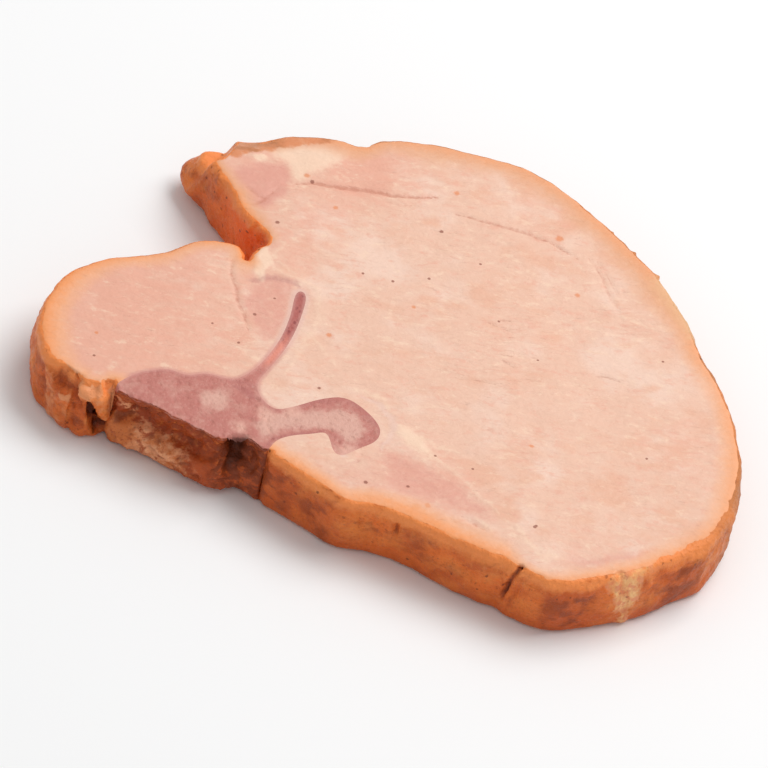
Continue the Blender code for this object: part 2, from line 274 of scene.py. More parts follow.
# The bone's cut face: pale parts, mauve edges, and the middle of its thin strip.
BONE_PALE = (
    (((-30.8, -21.9), (-28, -20.6), (-25.8, -22), (-26.4, -24.4), (-28.8, -24.8), (-30.6, -23.4)),
     1.2, 0.85),
    (((-19.4, -23.6), (-15, -22), (-10.5, -20), (-5.6, -19), (-3.2, -21.8), (-3.4, -25.2),
      (-5.6, -26.2), (-7.8, -24), (-10.8, -24.6), (-15.2, -26), (-19, -28.6), (-20.6, -26.6)),
     1.1, 0.95),
)
BONE_MAUVE_STROKES = (
    (((-21.5, -20), (-18.2, -22), (-14.9, -20.3), (-11, -17.4), (-7.2, -16), (-3.4, -18),
      (-0.7, -21.2), (-0.8, -24.4)), 2.3, 0.8),
    (((-18.8, -31.4), (-17, -28.9), (-15, -27.4), (-12, -26.2), (-9.4, -24.9)), 0.9, 1),
    (((-44.1, -23.1), (-41.2, -20.1), (-37, -18.1), (-33.6, -18.5), (-30.4, -17.1), (-26.2, -17.2),
      (-22.8, -17.6), (-20.4, -20)), 1.7, 0.7),
    (((-25.4, -18.6), (-23.6, -19.2), (-21.6, -21)), 1.7, 1),
    (((-7.2, -28.6), (-5.7, -29.4), (-3.4, -27.2)), 1.8, 0.5),
)
BONE_FLESH = (
    ((-15.6, -21.4), 3.6, 0.8), ((-19.6, -23.6), 3.6, 0.8), ((-23.2, -27.6), 3.2, 0.7),
    ((-5.1, -28.4), 3.6, 1), ((-8.5, -22.8), 3, 0.4), ((-4, -25.6), 2.2, 0.4),
)

STRIP_MIDDLE = ((-17.6, 5.6), (-18, 0.6), (-19, -5), (-20.6, -10))

# The bone's sawn side: a flake of cream fat, along X and height, and the hole at its right, which is
# painted dark as shade.
FLAKE = ((-45.4, 10.4), (-43.8, 9), (-42, 7.8), (-40.6, 6.2))
HOLE_X = -23.2

# Small marks: place and radius.
DARK_SPECKS = (
    ((2.9, 27.6), 0.45), ((-3.4, 13.5), 0.35), ((2.3, 15.7), 0.33), ((-8.5, 13.9), 0.25),
    ((43.4, 8.2), 0.28), ((-11.7, -14.8), 0.4), ((-1, -34.6), 0.4), ((5.8, -33.2), 0.35),
    ((28, -36.4), 0.25), ((43.9, -15.3), 0.25), ((-24.4, 21.8), 0.45), ((-20.3, 33.1), 0.45),
    ((-26.6, -8.5), 0.3), ((-31.3, -5.2), 0.25), ((-49.4, -18.4), 0.3), ((-22.2, 3.9), 0.28),
    ((-25, -0.8), 0.4), ((27.9, -36.7), 0.35), ((9.4, -25), 0.3), ((15.7, -26.3), 0.3),
    ((15, 9.3), 0.25), ((23, 2.2), 0.28), ((10.2, 21.5), 0.25),
)
ORANGE_SPOTS = (
    ((22.3, 31.7), 0.8), ((27.2, 19.4), 0.55), ((3.8, 37.3), 0.6), ((0.8, 8.6), 0.5),
    ((24.6, -18.1), 0.5), ((-21.2, 34.2), 0.6), ((-12, -2), 0.55), ((-49.8, -12.8), 0.4),
    ((-15.4, 27.8), 0.5), ((7.9, -37.5), 0.9), ((9.6, -36.9), 0.7),
)


# ---------------------------------------------------------------- outlines

def section(node, height):
    """The outline of a node at a height, as an anticlockwise loop of points."""
    bm = bmesh.new()
    bm.from_mesh(node.data)
    bmesh.ops.remove_doubles(bm, verts=bm.verts, dist=TOUCHING)
    cut = bmesh.ops.bisect_plane(
        bm, geom=bm.verts[:] + bm.edges[:] + bm.faces[:], dist=TOUCHING,
        plane_co=(0, 0, height * MM), plane_no=(0, 0, 1))["geom_cut"]
    neighbours = {}
    for edge in cut:
        if isinstance(edge, bmesh.types.BMEdge):
            first, second = edge.verts
            neighbours.setdefault(first, []).append(second)
            neighbours.setdefault(second, []).append(first)
    start = next(iter(neighbours))
    previous, current = start, neighbours[start][0]
    loop = [start.co.xy / MM]
    while current is not start:
        loop.append(current.co.xy / MM)
        one, other = neighbours[current]
        previous, current = current, (other if one is previous else one)
    points = np.array(loop)
    bm.free()
    return points if signed_area(points) > 0 else points[::-1]


def signed_area(loop):
    """The area inside a loop, positive where it runs anticlockwise."""
    x, y = loop[:, 0], loop[:, 1]
    return 0.5 * float(np.sum(x * np.roll(y, -1) - y * np.roll(x, -1)))


def resample(points, spacing, closed=True):
    """Points evenly spaced along a path of straight runs."""
    path = np.vstack([points, points[:1]]) if closed else np.asarray(points)
    along = np.concatenate([[0], np.cumsum(np.linalg.norm(np.diff(path, axis=0), axis=1))])
    count = max(int(round(along[-1] / spacing)), 3)
    stops = np.linspace(0, along[-1], count, endpoint=not closed)
    return np.stack([np.interp(stops, along, path[:, k]) for k in range(2)], axis=1)


def soften(loop, spread):
    """Values on a loop, smoothed along its length; spread is in points."""
    reach = int(math.ceil(3 * spread))
    kernel = np.exp(-0.5 * (np.arange(-reach, reach + 1) / spread) ** 2)
    kernel /= kernel.sum()
    return sum(w * np.roll(loop, -k, axis=0) for k, w in zip(range(-reach, reach + 1), kernel))


def nearest(points, path):
    """For each point, the distance to the nearest point of a path, and which one it is."""
    tree = kdtree.KDTree(len(path))
    for index, place in enumerate(path):
        tree.insert((place[0], place[1], 0), index)
    tree.balance()
    found = [tree.find((x, y, 0)) for x, y in points]
    return np.array([hit[2] for hit in found]), np.array([hit[1] for hit in found])


def edge_distance(points, path, closed=False):
    """For each point, the distance to a path of straight runs."""
    return nearest(points, resample(path, PATH_STEP, closed))[0]


def slice_outlines():
    """The bone's loop, the meat's loop, and which points of each lie on the outside.

    The meat's loop runs round its outer edge and back along the bone, sharing the bone's points,
    so the two are grown together with no gap.
    """
    loops = {}
    for name, height in SECTION_HEIGHT.items():
        loop = resample(section(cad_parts[name], height), OUTLINE_STEP)
        soft = soften(loop, OUTLINE_SOFTENING / OUTLINE_STEP)
        soft += (soften(loop, STRAIGHT_SOFTENING) - soft) * near(soft, *STRAIGHTENED)[:, None]
        loops[name] = soft
    bone, meat = loops["bone"], loops["meat"]
    outside = nearest(meat, bone)[0] > GROWN_TOGETHER
    first = next(i for i in range(len(meat)) if outside[i] and not outside[i - 1])
    meat = np.roll(meat, -first, axis=0)
    outside = np.roll(outside, -first)
    last = len(meat) - 1 - int(np.argmax(outside[::-1]))
    outer = meat[:last + 1]
    corner, crevice = (int(np.argmin(np.linalg.norm(bone - end, axis=1))) for end in (outer[0], outer[-1]))
    bone = np.roll(bone, -corner, axis=0)
    crevice = (crevice - corner) % len(bone)
    meat_loop = np.vstack([outer, bone[:crevice + 1][::-1]])
    meat_outside = np.arange(len(meat_loop)) < len(outer)
    bone_outside = np.arange(len(bone)) > crevice
    return {"meat": (meat_loop, meat_outside), "bone": (bone, bone_outside)}


# ---------------------------------------------------------------- shapes

def inward(loop):
    """Unit vectors into the area that an anticlockwise loop bounds."""
    along = np.roll(loop, -1, axis=0) - np.roll(loop, 1, axis=0)
    along /= np.linalg.norm(along, axis=1)[:, None]
    return np.stack([-along[:, 1], along[:, 0]], axis=1)


def room_inside(loop, normals):
    """For each point, the radius of the largest disc inside the loop that touches it there."""
    room = np.empty(len(loop))
    for index, (place, normal) in enumerate(zip(loop, normals)):
        offset = loop - place
        depth = offset @ normal
        squared = np.einsum("ij,ij->i", offset, offset)
        facing = depth > 1e-6
        room[index] = np.min(squared[facing] / (2 * depth[facing])) if facing.any() else 1e3
    return room


def grain(points, spacing, seed=0, octaves=0):
    """Smooth noise, mostly within -1 to 1, at each point; spacing is the size of its features."""
    scaled = np.asarray(points) / np.asarray(spacing)
    scaled = scaled + np.array((0, 0, seed))
    if octaves:
        return np.array([noise.fractal(Vector(place), 0.9, 2.1, octaves) for place in scaled])
    return np.array([noise.noise(Vector(place)) for place in scaled])


def wander(points, spacing, seeds=(1, 21)):
    """Two grains side by side, to shift points by."""
    return np.stack([grain(points, spacing, seed, 2) for seed in seeds], axis=1)


def flat_points(points):
    """Points in the plane as points in space, at height nought."""
    return np.column_stack([points, np.zeros(len(points))])


def bell(distance, half_width):
    """One at no distance, easing to nothing at the half width."""
    part = np.clip(np.abs(distance) / half_width, 0, 1)
    return 0.5 + 0.5 * np.cos(math.pi * part)


def ease(value, low, high):
    """Nought below low and one above high, easing between."""
    part = np.clip((value - low) / (high - low), 0, 1)
    return part * part * (3 - 2 * part)


def fade(value, low, high):
    """One below low and nought above high, easing between."""
    return 1 - ease(value, low, high)


def window(part, low, high, blur):
    """One between two levels and nought beyond them, changing across the blur on each side."""
    return ease(part, low - blur, low + blur) * fade(part, high - blur, high + blur)


def near(xy, middle, reach):
    """One at a place, easing to nought at the reach."""
    return bell(np.linalg.norm(xy - np.array(middle), axis=1), reach)


def top_height(points):
    """The height of the cut face at each point, before its fine relief."""
    reach = np.linalg.norm(points - np.array(FLAP_TIP), axis=1)
    height = THICKNESS + 0.3 * grain(flat_points(points), 24)
    height -= FLAP_DROP * fade(reach, *FLAP_DROP_REACH)
    height -= SHOULDER_DROP * near(points, *FLAP_SHOULDER)
    for outline, drop in CHIPS:
        height -= drop * ease(patch(points, outline, 0.3), 0.1, 0.9)
    return height


def is_inside(points, loop):
    """Which points lie inside a loop."""
    inside = np.zeros(len(points), bool)
    x, y = points[:, 0], points[:, 1]
    for (x0, y0), (x1, y1) in zip(np.roll(loop, 1, axis=0), loop):
        if y0 == y1:
            continue
        inside ^= ((y0 > y) != (y1 > y)) & (x < x0 + (y - y0) * (x1 - x0) / (y1 - y0))
    return inside


def fill(ring, step):
    """Staggered grid points inside a ring, and triangles over the ring and the grid.

    Triangles index the ring's points first and then the grid's.
    """
    low, high = ring.min(axis=0), ring.max(axis=0)
    rows = np.arange(low[1], high[1], step * math.sqrt(3) / 2)
    columns = np.arange(low[0], high[0], step)
    grid = np.stack(np.meshgrid(columns, rows), axis=-1)
    grid[1::2, :, 0] += step / 2
    grid = grid.reshape(-1, 2)
    grid = grid[is_inside(grid, ring)]
    grid = grid[edge_distance(grid, ring, closed=True) > GRID_CLEARANCE * min(step, OUTLINE_STEP)]
    flat = [Vector(p) for p in np.vstack([ring, grid])]
    found = delaunay_2d_cdt(flat, [], [list(range(len(ring)))], 1, 1e-6)
    places, _, triangles, sources = found[:4]
    if len(places) != len(flat):
        raise RuntimeError("the ring crosses itself")
    origin = np.array([source[0] for source in sources])
    return grid, [tuple(int(origin[k]) for k in t) for t in triangles]


def smooth_path(points, closed=False):
    """Closely spaced points along a smooth curve through the given points."""
    points = np.array(points)
    if closed:
        padded = np.vstack([points[-1:], points, points[:2]])
    else:
        padded = np.vstack([points[:1], points, points[-1:]])
    part = np.linspace(0, 1, 12, endpoint=False)[:, None]
    spans = []
    for b, s, e, a in zip(padded, padded[1:], padded[2:], padded[3:]):
        spans.append(0.5 * (2 * s + (e - b) * part + (2 * b - 5 * s + 4 * e - a) * part ** 2
                            + (3 * s - b - 3 * e + a) * part ** 3))
    if not closed:
        spans.append(points[-1:])
    return resample(np.vstack(spans), PATH_STEP, closed)


def patch(points, outline, blur):
    """One inside an outline and nought outside, changing across the blur on each side."""
    path = smooth_path(outline, closed=True)
    distance = nearest(points, path)[0]
    signed = np.where(is_inside(points, path), distance, -distance)
    return np.clip(0.5 + signed / (2 * blur), 0, 1)


def stroke(points, path, half_width):
    """One on a path, falling to nought at the half width; the path thins towards its ends."""
    line = smooth_path(path)
    distance, index = nearest(points, line)
    taper = 0.35 + 0.65 * np.sin(math.pi * (index + 0.5) / len(line))
    return np.clip(1 - distance / (half_width * taper), 0, 1)


def marks(points, spots):
    """One at the middle of each spot, falling to nought at one and a half times its radius."""
    value = np.zeros(len(points))
    for place, radius in spots:
        distance = np.linalg.norm(points - np.array(place), axis=1)
        distance = np.linalg.norm(points - points[np.argmin(distance)], axis=1)
        value = np.maximum(value, np.clip(1 - distance / (1.5 * radius), 0, 1))
    return value


def strongest(xy, items, measure):
    """The largest value of any item, each measured and weighed by its strength."""
    value = np.zeros(len(xy))
    for *shape, strength in items:
        value = np.maximum(value, strength * measure(xy, *shape))
    return value


def summed(xy, patches):
    """What some patches add at each place, given the place, reach and amount of each."""
    return sum(amount * near(xy, middle, reach) for middle, reach, amount in patches)


# ---------------------------------------------------------------- slab

class Slab:
    """A slab between an outline on the underside and the cut face.

    Vertices come in rings up the side, then the cut face's own, then the underside's own.  For
    each there is its place before relief, the way out of the side, how much it belongs to the side
    and to the cut face, and its distance from the outer edge and from where meat and bone meet.
    """

    def __init__(self, name, loop, outside, profile):
        self.name = name
        normals = inward(loop)
        count = len(loop)
        wall = len(profile) * count
        deepest = max(inset for _, inset in profile)
        room = soften(np.minimum(room_inside(loop, normals), MOST_ROOM), 2)
        weight = soften(outside.astype(float), 3) * outside
        weight = np.minimum(weight, ROOM_USED * room / deepest)
        rings = []
        for level, inset in profile:
            ring = loop + normals * (weight * inset)[:, None]
            rings.append(np.column_stack([ring, level * top_height(ring)]))
        above, above_faces = fill(rings[-1][:, :2], FACE_STEP[name])
        below, below_faces = fill(rings[0][:, :2], UNDERSIDE_STEP[name])
        self.places = np.vstack(
            rings + [np.column_stack([above, top_height(above)]), flat_points(below)])
        self.xy = self.places[:, :2]
        self.flat = flat_points(self.xy)
        self.rim = edge_distance(self.xy, loop[outside])
        self.seam = edge_distance(self.xy, loop[~outside])
        self.side_way = np.zeros_like(self.places)
        self.side_way[:wall, :2] = np.tile(-normals * weight[:, None], (len(profile), 1))
        part = np.repeat([level for level, _ in profile], count)
        caps = [np.ones(len(above)), np.zeros(len(below))]
        self.part = np.concatenate([part] + caps)
        self.face_share = np.concatenate([ease(part, 0.93, 1)] + caps)
        self.side_share = np.zeros(len(self.places))
        self.side_share[:wall] = 0.4 + 0.6 * ease(part, 0, 0.12) * fade(part, 0.86, 1)
        grown = np.flatnonzero(~outside)
        self.corners = np.concatenate([grown, grown + wall - count])
        self.faces = self.side_faces(wall, count)
        self.faces += self.cap_faces(above_faces, count, wall - count, wall)
        underside = self.cap_faces(below_faces, count, 0, wall + len(above))
        self.faces += [face[::-1] for face in underside]

    @staticmethod
    def side_faces(wall, count):
        """Quads between the rings."""
        faces = []
        for low in range(0, wall - count, count):
            for index in range(count):
                following = (index + 1) % count
                faces.append((low + index, low + following,
                              low + count + following, low + count + index))
        return faces

    @staticmethod
    def cap_faces(triangles, count, ring_start, own_start):
        """A cap's triangles in the slab's own numbering."""
        shift = own_start - count
        return [tuple(ring_start + k if k < count else shift + k for k in t) for t in triangles]

    def build(self, outward, upward, material, values):
        """The finished piece, moved by the given relief in millimetres, with its attributes."""
        places = self.places + self.side_way * outward[:, None]
        places[:, 2] += upward
        mesh = bpy.data.meshes.new("chop_" + self.name)
        mesh.from_pydata((places * MM).tolist(), [], self.faces)
        mesh.shade_smooth()
        ends = np.empty(2 * len(mesh.edges), np.int32)
        mesh.edges.foreach_get("vertices", ends)
        sharp = np.isin(ends.reshape(-1, 2), self.corners).all(axis=1)
        mesh.attributes.new("sharp_edge", "BOOLEAN", "EDGE").data.foreach_set("value", sharp)
        mesh.materials.append(material)
        for key, numbers in values.items():
            attribute = mesh.attributes.new(key, "FLOAT", "POINT")
            attribute.data.foreach_set("value", np.asarray(numbers, np.float32))
        piece = new_object("chop_" + self.name, mesh)
        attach(piece, "root")
        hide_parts(self.name)


def new_object(name, data):
    """A new object in the scene."""
    made = bpy.data.objects.new(name, data)
    bpy.context.scene.collection.objects.link(made)
    return made


# ---------------------------------------------------------------- meat

def fold_depth(places, part):
    """How deep the folds of the side are at each place, at a part of the height."""
    depth = np.zeros(len(places))
    ragged = 0.35 * grain(places, (1.6, 1.6, 1.3), 12, 2)
    for middle, half_width, deepest, lean, low, high in WALL_FOLDS:
        shifted = places[:, :2] - np.array(middle)
        shifted = shifted - np.outer(places[:, 2] / THICKNESS - 0.5, (lean, 0))
        distance = np.linalg.norm(shifted, axis=1) * (1 + ragged)
        depth = np.maximum(depth, deepest * window(part, low, high, 0.1) * bell(distance, half_width))
    return depth


def bulge_height(places, part):
    """How far the swellings of the side stand out at each place, at a part of the height."""
    height = np.zeros(len(places))
    for middle, reach, most, level, spread in WALL_BULGES:
        height += most * near(places[:, :2], middle, reach) * bell(part - level, spread)
    return height


def lobe_front(places, cut_face):
    """How far the broken front of the lobe stands out at each place, and its tone.

    It ends where the cut face begins.
    """
    out = np.zeros(len(places))
    shade = np.zeros(len(places))
    front = np.flatnonzero((places[:, :2] < np.array(LOBE_FRONT_CORNER)).all(axis=1))
    here = places[front][:, (0, 2)] + 0.3 * wander(places[front], 1.3, (2, 9))
    for outline, amount, colour in LOBE_FRONT:
        inside = patch(here, outline, 0.2) * (1 - cut_face[front])
        out[front] += (amount - out[front]) * inside
        shade[front] += (colour - shade[front]) * inside
    return out, shade


def rind_relief(places):
    """The wrinkled relief of the smoked side."""
    broad = 0.45 * grain(places, 6.5, 3.1, 2)
    wrinkles = 0.26 * grain(places, (2.2, 2.2, 2.6), 7.7, 3)
    fine = 0.11 * grain(places, 0.8, 1.3, 2)
    return broad + wrinkles + fine


def tint_width(xy):
    """How far the smoke's colour reaches in from the edge of the cut face."""
    x, y = xy[:, 0], xy[:, 1]
    width = 2.2 + 0.8 * grain(flat_points(xy), 7, 5.5, 2) - 0.7 * ease(-y, 24, 34)
    width += 2.8 * fade(x, -58, -48) * ease(y, -24, -14)
    width += 1 * fade(x, -50, -30) * ease(y, 0, 8)
    width += 1 * fade(y, -24, -16) * ease(x, -20, -12) * fade(x, 20, 34)
    width += 1.6 * ease(x, -20, 0) * ease(y, 12, 26)
    width += 1.4 * ease(x, 24, 50) * fade(y, -30, 10)
    width += 1.5 * ease(x, 24, 44) * ease(y, 5, 20)
    return np.maximum(width + summed(xy, TINT_PATCHES), 0.7)


def crust_width(xy):
    """How far the crust itself turns over the edge of the cut face."""
    x, y = xy[:, 0], xy[:, 1]
    ragged = grain(flat_points(xy), 2.2, 9.5, 2)
    width = 0.75 + 0.3 * ragged
    width += (0.6 + 0.5 * ragged) * ease(x, 42, 52) * ease(y, -44, -34) * fade(y, -30, -20)
    width += (1.3 + 0.9 * ragged) * near(xy, (-31, 42), 8)
    return width + 0.3 * near(xy, (-56, -19), 7)


def arm_share(xy):
    """One along the bone's curled arm, whose edges are soft, and nought elsewhere."""
    return ease(xy[:, 0], -21, -16) * fade(xy[:, 1], -15, -11)


def crust_share(slab, wandering):
    """Where the crust shows: the side, the chipped edge, the flap's tip and a rim of the cut face."""
    turned_over = ease(crust_width(slab.xy) - slab.rim, -0.25, 0.25)
    side = ease(slab.part, 0, 0.04) * fade(slab.part, 0.94, 0.985)
    broken = np.zeros(len(slab.xy))
    for outline, _ in CHIPS:
        inside = patch(slab.xy, outline, 0.45)
        broken = np.maximum(broken, 4 * inside * (1 - inside))
    tip = fade(np.linalg.norm(slab.xy - np.array(FLAP_TIP), axis=1) + 0.5 * wandering[:, 0], 7, 8)
    return np.maximum.reduce([turned_over, side, broken * slab.face_share, tip])


def build_meat(loop, outside):
    slab = Slab("meat", loop, outside, RIND_PROFILE)
    places, part, xy, flat, rim = slab.places, slab.part, slab.xy, slab.flat, slab.rim
    x, y = xy[:, 0], xy[:, 1]
    wandering = wander(flat, 2.6)
    bent = xy + 0.55 * wandering

    lean = strongest(bent, DARK_MUSCLES, patch)
    fat = np.maximum(strongest(bent, FAT_PATCHES, patch), strongest(bent, FAT_SEAMS, stroke))
    line = strongest(xy + 0.25 * wandering, LINES, stroke)
    crease = strongest(xy + 0.45 * wandering, [((a, b), 0.42, s) for a, b, s in CREASES], stroke)
    halo = strongest(bent, CARTILAGE, stroke)
    halo = np.maximum(halo, 0.8 * bell(slab.seam, 1.5) * ease(y, -15, -2))
    blush = 1 - 0.45 * ease(x, -50, -24) - 0.55 * ease(x - 0.25 * y, -24, -12)
    blush = np.clip(blush + summed(xy, BLUSH_PATCHES), 0, 1)
    aged = np.maximum(ease(y + 0.8 * x, 4, 32), near(xy, *AGED_LOBE))

    front, shade = lobe_front(places, slab.face_share * ease(rim, 0.5, 1.3))
    folds = fold_depth(places, part)
    # How deep the folds and sunken shapes of the side go; the same amount paints them dark as shade.
    hollow_and_shade = np.clip(np.maximum(folds, -0.45 * front), 0, 1)
    relief = rind_relief(places)
    outward = relief * slab.side_share - folds + front + bulge_height(places, part)
    ragged = places + 0.5 * np.column_stack([wandering, wandering[:, 0]])
    scorch = strongest(ragged[:, :2], SCORCHED, lambda xy, middle, reach, low, high: (
        near(xy, middle, reach) * window(part, low, high, 0.06)))

    face = 0.15 * grain(flat, 8, 2, 2) + 0.07 * grain(flat, (5, 1.2, 1), 4, 3)
    face += 0.04 * grain(flat, 0.9, 6, 2) + 0.45 * near(xy, (-31.5, 39), 5)
    face += 0.1 * fat - 0.3 * line - 0.22 * crease - 0.12 * lean
    face -= 1.4 * hollow_and_shade * fade(rim, 0.8, 2.2)
    upward = face * ease(slab.seam, 0, 1) * slab.face_share
    upward += 0.5 * grain(flat, 4, 17, 2) * np.sin(math.pi * part)
    slab.build(outward, upward, meat_material(), {
        "joint": bell(slab.seam, 1.1) * (1 - 0.8 * arm_share(xy)),
        "part": part,
        "crust": crust_share(slab, wandering),
        "tint": np.clip(1 - rim / (2 * tint_width(xy)), 0, 1),
        "film": near(xy, *FILM_AREA),
        # ember: painted light, a glow on the side by the cleft, where it is otherwise shaded
        "ember": near(xy, *PAINTED_GLOW_AREA),
        "aged": aged,
        "lean": lean,
        "fat": fat,
        "line": line,
        "crease": crease,
        "halo": halo,
        "mauve": strongest(bent, MAUVE_STROKES, stroke),
        "rust": strongest(bent, RUST_PATCHES, patch),
        "warm": strongest(bent, WARM_PATCHES, near),
        "pale": strongest(bent, PALE_PATCHES, near),
        "blush": blush,
        "speck": marks(xy, DARK_SPECKS),
        "glow": marks(xy, ORANGE_SPOTS),
        "relief": relief,
        "hollow_and_shade": hollow_and_shade,
        "torn": np.maximum(shade, 0),
        # the lobe front's dark tone joins the scorch; on its sunken shapes it is partly painted shade
        "scorch": np.maximum(scorch, -shade)})


# ---------------------------------------------------------------- bone

def build_bone(loop, outside):
    slab = Slab("bone", loop, outside, CHINE_PROFILE)
    places, part, xy, flat, rim = slab.places, slab.part, slab.xy, slab.flat, slab.rim
    bent = xy + 0.5 * wander(flat, 2.2)
    relief = 1.1 * grain(places, (3.6, 3.6, 2.4), 2.2, 2) + 0.7 * grain(places, (1.5, 1.5, 1.1), 8.1, 3)
    hole = bell(xy[:, 0] - HOLE_X + 0.6 * grain(places, 1.4, 6, 2), 2.2) * ease(part, 0.22, 0.5)
    hole *= 1 - ease(rim, 0.4, 1.1) * slab.face_share
    pores = np.clip(grain(flat, 0.75, 3.3, 2) - 0.25, 0, 1)
    face = 0.12 * grain(flat, 3, 1, 2) - 0.45 * pores
    face -= 0.9 * np.clip(grain(flat, 1.3, 5, 2), 0, 1) * fade(rim, 0, 1.4)
    edge = edge_distance(xy, loop, closed=True)
    face *= np.maximum(ease(edge, 0, 0.8), fade(rim, 0, 0.8))
    upward = face * slab.face_share - 1.6 * hole * ease(part, 0.9, 1)
    upward += (1.1 * grain(flat, 4.5, 12, 3) + 0.4) * np.sin(math.pi * part) ** 2
    slab.build(relief * slab.side_share - 2 * hole, upward, bone_material(), {
        "joint": bell(slab.seam, 0.9) * (1 - 0.8 * arm_share(xy)),
        "rim": rim,
        "part": part,
        "relief": relief,
        # the hole, painted dark as shade
        "hole_shade": hole,
        "flake": stroke(places[:, (0, 2)], FLAKE, 1.5) * (1 - slab.face_share),
        "flesh": strongest(bent, BONE_FLESH, near),
        "pale": strongest(bent, BONE_PALE, patch),
        "mauve": strongest(bent, BONE_MAUVE_STROKES, stroke),
        "beads": stroke(xy, STRIP_MIDDLE, 1.3)})


# ---------------------------------------------------------------- materials

class Graph:
    """Short ways to lay out a material's nodes, with textures placed in millimetres.

    The wobble is fine noise about nought, which roughens the edges of what is painted.
    """

    def __init__(self, name, wobble_size):
        self.material = bpy.data.materials.new(name)
        self.material.use_nodes = True
        self.tree = self.material.node_tree
        self.place = self.vector("SCALE", self.node("TexCoord").outputs["Object"], 1 / MM)
        self.wobble = self.centred(self.noise(wobble_size, 2.5, 3, 0.6))

    def feed(self, socket, value):
        """A number, a colour or another node's output into a socket."""
        if isinstance(value, bpy.types.NodeSocket):
            self.tree.links.new(value, socket)
        elif isinstance(value, tuple) and socket.type == "RGBA":
            socket.default_value = (*value, 1)
        else:
            socket.default_value = value

    def node(self, kind, **inputs):
        """A new node, with its named inputs fed."""
        node = self.tree.nodes.new("ShaderNode" + kind)
        for name, value in inputs.items():
            self.feed(node.inputs[name], value)
        return node

    def vector(self, operation, a, b):
        node = self.node("VectorMath")
        node.operation = operation
        self.feed(node.inputs[0], a)
        self.feed(node.inputs["Scale"] if operation == "SCALE" else node.inputs[1], b)
        return node.outputs["Vector"]

    def math(self, operation, a, b=0):
        node = self.node("Math")
        node.operation = operation
        self.feed(node.inputs[0], a)
        self.feed(node.inputs[1], b)
        return node.outputs["Value"]

    def add(self, a, b):
        return self.math("ADD", a, b)

    def times(self, a, b):
        return self.math("MULTIPLY", a, b)

    def centred(self, value):
        return self.math("SUBTRACT", value, 0.5)

    def step(self, value, low, high, to_low=0, to_high=1):
        """Eases from one number to another as the value goes from low to high."""
        node = self.node("MapRange")
        node.interpolation_type = "SMOOTHSTEP"
        for socket, number in zip(node.inputs[:5], (value, low, high, to_low, to_high)):
            self.feed(socket, number)
        return node.outputs["Result"]

    def mix(self, share, first, second):
        node = self.node("Mix")
        node.data_type = "RGBA"
        for index, value in ((0, share), (6, first), (7, second)):
            self.feed(node.inputs[index], value)
        return node.outputs[2]

    def paint(self, colour, *layers):
        """A colour with others laid over it.

        Each is its share and its colour; or a value, the numbers between which it eases in, its
        full share and its colour.
        """
        for share, *limits, over in layers:
            if limits:
                low, high, full = limits
                share = self.step(share, low, high, 0, full)
            colour = self.mix(share, colour, over)
        return colour

    def value(self, name):
        """An attribute of the mesh."""
        node = self.node("Attribute")
        node.attribute_name = name
        return node.outputs["Fac"]

    def rough(self, value, amount):
        """A value, or an attribute by its name, with its edges roughened by the wobble."""
        value = self.value(value) if isinstance(value, str) else value
        return self.add(value, self.times(self.wobble, amount))

    def axis(self, name):
        return self.node("SeparateXYZ", Vector=self.place).outputs[name]

    def turned(self, degrees):
        """Places turned about the vertical axis, for a grain that runs at an angle."""
        node = self.node("VectorRotate", Vector=self.place, Angle=-math.radians(degrees))
        node.rotation_type = "Z_AXIS"
        return node.outputs["Vector"]

    def scaled_place(self, spacing, seed, place=None):
        if not isinstance(spacing, tuple):
            spacing = (spacing, spacing, spacing)
        shrunk = self.vector("MULTIPLY", place or self.place, tuple(1 / s for s in spacing))
        return self.vector("ADD", shrunk, (seed, 1.7 * seed, 0))

    def noise(self, spacing, seed=0, detail=2, roughness=0.5, distortion=0, place=None):
        node = self.node("TexNoise", Vector=self.scaled_place(spacing, seed, place), Scale=1,
                         Detail=detail, Roughness=roughness, Distortion=distortion)
        return node.outputs["Fac"]

    def cells(self, spacing, seed, bend=0):
        """The distance to the nearest of scattered points, bent by noise."""
        place = self.scaled_place(spacing, seed)
        if bend:
            warp = self.node("TexNoise", Vector=place, Scale=1.4).outputs["Color"]
            place = self.vector("ADD", place, self.vector("SCALE", warp, bend))
        return self.node("TexVoronoi", Vector=place, Scale=1).outputs["Distance"]

    def bump(self, height, distance, normal=None):
        node = self.node("Bump", Height=height, Distance=distance * MM)
        if normal:
            self.feed(node.inputs["Normal"], normal)
        return node.outputs["Normal"]

    def finish(self, colour, roughness, normal):
        shader = self.tree.nodes["Principled BSDF"]
        for name, value in (("Base Color", colour), ("Roughness", roughness), ("Normal", normal),
                            ("Specular IOR Level", 0.3)):
            self.feed(shader.inputs[name], value)
        return self.material


EYE = (0.85, 0.53, 0.395)
EYE_PALE = (0.88, 0.605, 0.48)
EYE_PINK = (0.83, 0.42, 0.305)
EYE_PEACH = (0.83, 0.47, 0.33)
LEAN_DARK = (0.76, 0.35, 0.27)
FAT_CREAM = (0.94, 0.665, 0.49)
CARTILAGE_PALE = (0.85, 0.575, 0.475)
MAUVE = (0.55, 0.245, 0.21)
LINE_RED = (0.52, 0.17, 0.105)
CREASE_BROWN = (0.55, 0.28, 0.20)
SPECK_BROWN = (0.30, 0.09, 0.055)
SPOT_ORANGE = (0.78, 0.25, 0.09)
RIM_PALE = (0.90, 0.435, 0.235)
RIM_TAN = (0.81, 0.41, 0.235)
RIM_ORANGE = (0.92, 0.325, 0.105)
